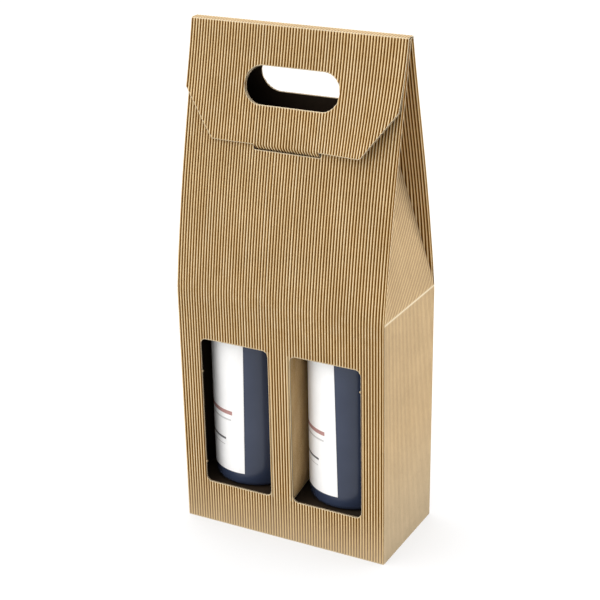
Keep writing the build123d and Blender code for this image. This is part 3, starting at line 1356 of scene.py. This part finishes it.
@dataclass
class Bottle:
    """Wine bottle with its label and capsule, at the place of its CAD node."""

    side: Side
    heel: float = 5.0
    body: float = 178.0
    neck_start: float = 214.0
    neck_radius: float = 13.3
    lip: float = 1.2
    punt_depth: float = 14.0
    punt_radius: float = 24.0
    segments: int = 128
    shoulder_steps: int = 24
    smooth_angle: float = math.radians(40.0)
    label_low: float = 12.0
    label_high: float = 144.0
    label_width: float = 105.0
    label_skin: Span = (0.05, 0.30)
    label_grid: tuple[int, int] = (72, 6)
    label_turn: float = 0.0
    label_skew: float = 0.0
    capsule_skin: float = 0.08
    capsule_sheet: float = 0.3
    capsule_bevel: Span = (0.9, 1.0)
    capsule_seat: Span = (1.2, 1.4)

    def __post_init__(self) -> None:
        """Reads the bottle's place and outside size from its CAD node."""
        self.word = self.side.name.lower()
        self.node = f"bottle_{self.word}"
        low, high = (Vector(corner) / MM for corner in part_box(self.node))
        self.centre = (low + high) / 2
        self.base = low.z
        self.height = high.z - low.z
        self.radius = (high.x - low.x) / 2

    def point(self, radius: float, angle: float, height: float) -> Vector:
        """Returns a point round the bottle's axis, in metres."""
        x, y = self.centre.x + radius * math.cos(angle), self.centre.y + radius * math.sin(angle)
        return Vector((x, y, self.base + height)) * MM

    def outline(self) -> list[Span]:
        """Draws the bottle's half section.

        Returns:
            Radius and height of its points, from the punt to the rim.
        """
        foot = self.radius - self.heel
        line = [(self.punt_radius * math.sin(a), self.punt_depth * math.cos(a)) for a in QUARTER]
        line += [(foot + self.heel * math.sin(a), self.heel * (1 - math.cos(a))) for a in QUARTER]
        line.append((self.radius, self.body / 2))
        for share in spread(0.0, 1.0, self.shoulder_steps):
            ease = share * share * (3 - 2 * share)
            reach = self.radius + (self.neck_radius - self.radius) * ease
            line.append((reach, self.body + (self.neck_start - self.body) * share))
        return [*line, (self.neck_radius, self.height - self.lip), (self.neck_radius - self.lip, self.height),
                (0.0, self.height)]

    def lathe(self, name: str, line: Sequence[Span], finish: Finish) -> Piece:
        """Turns a half section round the bottle's axis.

        Args:
            name: The piece's name.
            line: Radius and height of the section's points, from the lower to the upper pole.
            finish: The piece's finish.

        Returns:
            The turned piece.
        """
        points: list[Vector] = []
        rings: list[list[int]] = []
        for radius, height in line:
            count = self.segments if radius > TOUCH else 1
            rings.append(list(range(len(points), len(points) + count)))
            points += [self.point(radius, 2 * math.pi * i / self.segments, height) for i in range(count)]
        faces = []
        for one, two in zip(rings, rings[1:]):
            for i in range(self.segments):
                j = (i + 1) % self.segments
                loop = [one[i % len(one)], one[j % len(one)], two[j % len(two)], two[i % len(two)]]
                faces.append(list(dict.fromkeys(loop)))
        return self.solid(name, points, faces, finish)

    def solid(self, name: str, points: Sequence[Vector], faces: Sequence[Sequence[int]], finish: Finish) -> Piece:
        """Makes a smooth mesh object.

        Args:
            name: The piece's name.
            points: Its points in metres.
            faces: Its faces, pointing outwards.
            finish: Its finish.

        Returns:
            The object, linked to the scene.
        """
        mesh = bpy.data.meshes.new(name)
        mesh.from_pydata(points, [], faces)
        mesh.polygons.foreach_set("use_smooth", [True] * len(mesh.polygons))
        mesh.set_sharp_from_angle(angle=self.smooth_angle)
        mesh.materials.append(finish.material())
        return link(name, mesh)

    def glass(self) -> Piece:
        """Builds the bottle itself."""
        return self.lathe(f"{self.node}_glass", self.outline(), BottleGlass())

    def label(self) -> Piece:
        """Builds the label: a thin sheet round the front of the body, with its own UV map.

        Returns:
            The label.
        """
        inner, outer = (self.radius + skin for skin in self.label_skin)
        columns, rows = self.label_grid
        shares = spread(0.0, 1.0, columns)
        ring = [(outer, share) for share in shares] + [(inner, share) for share in reversed(shares)]
        count, top = len(ring), len(ring) * rows
        points, uvs = [], []
        for up in spread(0.0, 1.0, rows):
            turn = math.radians(self.label_turn + self.label_skew * (up - 0.5)) - math.pi / 2
            height = self.label_low + (self.label_high - self.label_low) * up
            for reach, share in ring:
                points.append(self.point(reach, turn - self.label_width / outer * (1 - share), height))
                uvs.append((share, up))
        faces = []
        for low in range(0, top, count):
            for j in range(count):
                after = low + (j + 1) % count
                face = [low + j, after, after + count, low + j + count]
                # Both sides of the sheet are split along the same diagonal.
                faces.append(face if j <= columns else face[1:] + face[:1])
        for i in range(columns):
            faces.append([i, count - 1 - i, count - 2 - i, i + 1])
            faces.append([top + i, top + i + 1, top + count - 2 - i, top + count - 1 - i])
        piece = self.solid(f"label_{self.word}_paper", points, faces, LabelPaper())
        layer = piece.data.uv_layers.new(name="UVMap")
        for loop in piece.data.loops:
            layer.data[loop.index].uv = uvs[loop.vertex_index]
        return piece

    def capsule(self) -> Piece:
        """Builds the foil capsule over the neck.

        Returns:
            The capsule.
        """
        low, high = (Vector(corner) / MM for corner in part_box(f"capsule_{self.word}"))
        foot, top = low.z - self.base, high.z - self.base
        skin, wall = self.neck_radius + self.capsule_skin, (high.x - low.x) / 2
        ceiling = top - self.capsule_sheet
        inside = [(0.0, ceiling), (skin - self.capsule_seat[0], ceiling), (skin, top - self.capsule_seat[1]),
                  (skin, foot)]
        outside = [(wall, foot), (wall, top - self.capsule_bevel[1]), (wall - self.capsule_bevel[0], top), (0.0, top)]
        return self.lathe(f"capsule_{self.word}_foil", inside + outside, CapsuleFoil())

    def build(self) -> list[Piece]:
        """Builds the bottle, its label and its capsule in the places of their CAD nodes.

        Returns:
            The three pieces.
        """
        made = []
        for piece, node, slot in ((self.glass(), self.node, "bottle_glass"),
                                  (self.label(), f"label_{self.word}", "label_paper"),
                                  (self.capsule(), f"capsule_{self.word}", "capsule_foil")):
            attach(piece, "carton")
            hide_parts(node)
            made.append(piece)
        return made


@dataclass
class Studio:
    """White sweep, soft light and the camera at the photograph's angle, in degrees and metres."""

    azimuth: float = 28.5903
    elevation: float = 22.4393
    roll: float = -1.1341
    distance: float = 1.20800
    target: Place = (-0.004600, 0.0, 0.190923)
    sensor: float = 36.0
    focal_share: float = 2.5645
    floor_half: float = 8.0
    sky: float = 1.50
    tilt: float = 0.8
    tilt_way: Place = (-0.620, -0.350, 0.700)
    dim: float = 0.85
    dim_power: float = 1.2
    dim_way: Place = (0.750, -0.661, 0.0)
    key_power: float = 55.0
    key_size: float = 1.8
    key_place: Place = (2.0, 1.0, 0.25)

    def camera(self) -> Piece:
        """Sets up the camera.

        Returns:
            The camera.
        """
        a, e, r = (math.radians(v) for v in (self.azimuth, self.elevation, self.roll))
        back = Vector((math.sin(a) * math.cos(e), -math.cos(a) * math.cos(e), math.sin(e)))
        right = Vector((math.cos(a), math.sin(a), 0.0))
        up = back.cross(right)
        right, up = right * math.cos(r) + up * math.sin(r), up * math.cos(r) - right * math.sin(r)
        data = bpy.data.cameras.new("camera")
        data.sensor_width = self.sensor
        data.lens = self.sensor * self.focal_share
        camera = link("camera", data)
        turn = Matrix((right, up, back)).transposed().to_4x4()
        camera.matrix_world = Matrix.Translation(Vector(self.target) + back * self.distance) @ turn
        bpy.context.scene.camera = camera
        return camera

    def floor(self) -> Piece:
        """Lays the white floor.

        Returns:
            The floor.
        """
        half = self.floor_half
        mesh = bpy.data.meshes.new("floor")
        mesh.from_pydata([(-half, -half, 0.0), (half, -half, 0.0), (half, half, 0.0), (-half, half, 0.0)], [],
                         [(0, 1, 2, 3)])
        mesh.materials.append(StudioFloor().material())
        floor = link("floor", mesh)
        return floor

    def world(self) -> None:
        """Sets up the sky: brighter on one side, dimmed on another, and plain white where the camera sees it."""
        world = bpy.data.worlds.new("studio")
        world.use_nodes = True
        graph = Graph(world.node_tree)
        way = graph.add("ShaderNodeTexCoord").outputs["Generated"]
        bright = graph.math("MULTIPLY_ADD", graph.dot(way, self.tilt_way), self.tilt * self.sky, self.sky)
        shade = graph.math("POWER", graph.math("MAXIMUM", graph.dot(way, self.dim_way), 0.0), self.dim_power)
        strength = graph.math("MULTIPLY", bright, graph.math("MULTIPLY_ADD", shade, -self.dim, 1.0))
        seen = graph.add("ShaderNodeLightPath").outputs["Is Camera Ray"]
        strength = graph.blend(seen, strength, 1.0)
        graph.feed(world.node_tree.nodes["Background"], {"Color": WHITE, "Strength": strength})
        bpy.context.scene.world = world

    def key(self) -> Piece:
        """Sets up the key light.

        Returns:
            The light.
        """
        data = bpy.data.lights.new("key", "AREA")
        data.energy = self.key_power
        data.size = self.key_size
        key = link("key", data)
        place = Vector(self.key_place)
        turn = (Vector(self.target) - place).to_track_quat("-Z", "Y").to_matrix().to_4x4()
        key.matrix_world = Matrix.Translation(place) @ turn
        return key

    def build(self) -> None:
        """Sets up the whole studio."""
        self.camera()
        self.floor()
        self.world()
        self.key()
        settings = bpy.context.scene.view_settings
        settings.view_transform = "Standard"
        settings.look = "None"


def report(piece: Piece) -> None:
    """Logs a finished piece with its number of triangles."""
    piece.data.calc_loop_triangles()
    log.info("%s: %d triangles", piece.name, len(piece.data.loop_triangles))


def main() -> None:
    logging.basicConfig(level=logging.INFO, format="%(name)s %(message)s")
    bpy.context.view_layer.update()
    low, high = (Vector(corner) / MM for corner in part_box("carton_body"))
    board = Board()
    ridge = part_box("lid_flap")[1][2] / MM
    carton = Carton(board, high.x - low.x, high.y - low.y, ridge)
    report(carton.build())
    report(Lid(carton).build())
    report(BottleRest(board, *(Vector(corner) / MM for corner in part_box("bottle_rest"))).build())
    for side, turn, skew in ((Side.LEFT, 12.0, 4.0), (Side.RIGHT, 3.0, -4.0)):
        for piece in Bottle(side, label_turn=turn, label_skew=skew).build():
            report(piece)
    Studio().build()


if __name__ == "__main__":
    main()
